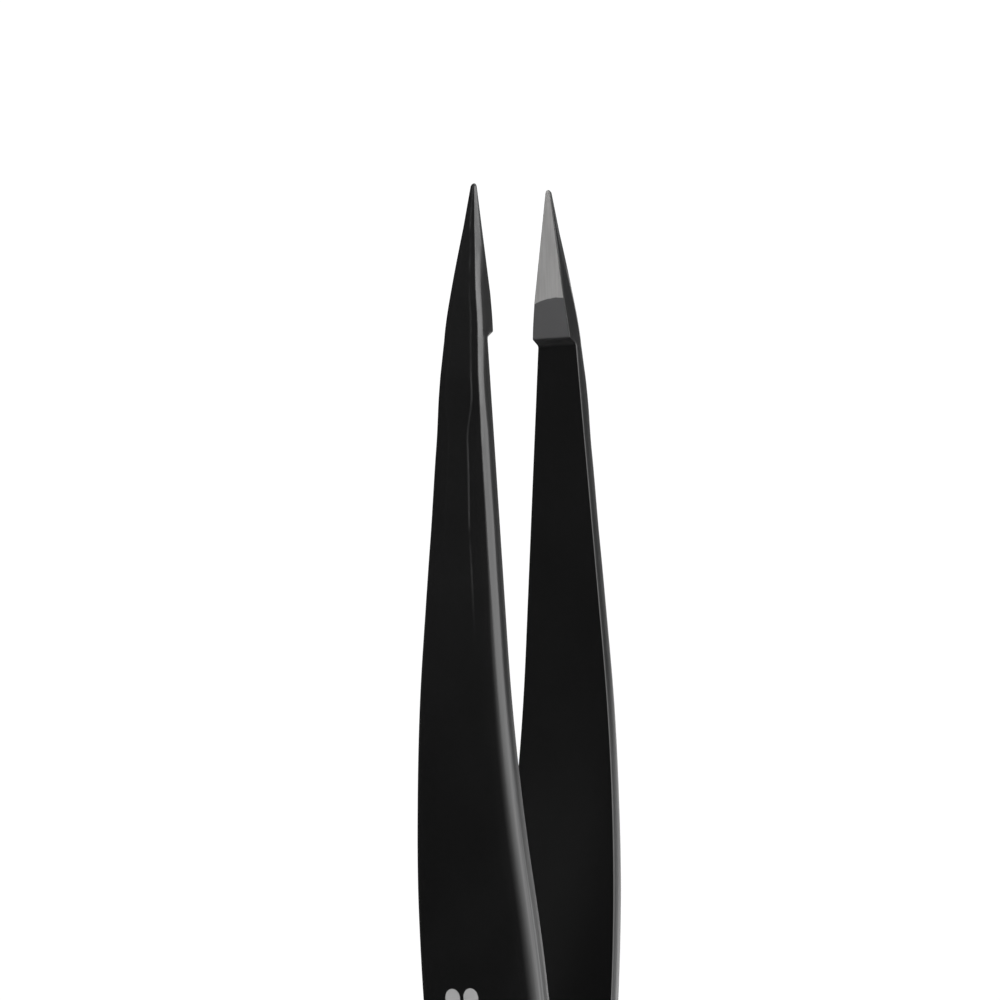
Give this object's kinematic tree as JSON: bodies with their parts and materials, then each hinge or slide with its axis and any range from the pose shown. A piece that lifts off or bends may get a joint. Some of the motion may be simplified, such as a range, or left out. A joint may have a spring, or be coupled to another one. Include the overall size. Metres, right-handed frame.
{
  "type": "pointed tweezers",
  "caption": "Pointed tweezers: two sprung steel arms welded at the heel, satin black with bare ground facets inside the tips.",
  "frame": {"origin": "middle of the heel end, where the two arms meet", "axes": "+Z along the tweezers from the heel to the tips, +X the direction in which the arms squeeze together, from the left arm to the right arm, +Y across the width of the arms"},
  "size_m": [0.0136, 0.0106, 0.095],
  "materials": {
    "black_coating": "satin black coating over stainless steel, with the inner facet of each tip ground bare",
    "weld_steel": "stainless steel melted and set between the arms"
  },
  "bodies": {
    "heel": {"left_heel": "black_coating", "right_heel": "black_coating", "spot_welds": "weld_steel"},
    "left_arm": {"left_blade": "black_coating"},
    "right_arm": {"right_blade": "black_coating"}
  },
  "joints": [
    {"name": "left_arm_flex", "type": "hinge", "parent": "heel", "child": "left_arm", "pos_m": [-0.0012, 0, 0.0135], "axis": [0, 1, 0], "range_deg": [0, 2.84], "stiffness_Nm_per_rad": 0.9},
    {"name": "right_arm_flex", "type": "hinge", "parent": "heel", "child": "right_arm", "pos_m": [0.0012, 0, 0.0135], "axis": [0, 1, 0], "range_deg": [-2.84, 0], "stiffness_Nm_per_rad": 0.9}
  ],
  "couplings": [
    {"joint": "right_arm_flex", "follows": "left_arm_flex", "ratio": -1}
  ]
}
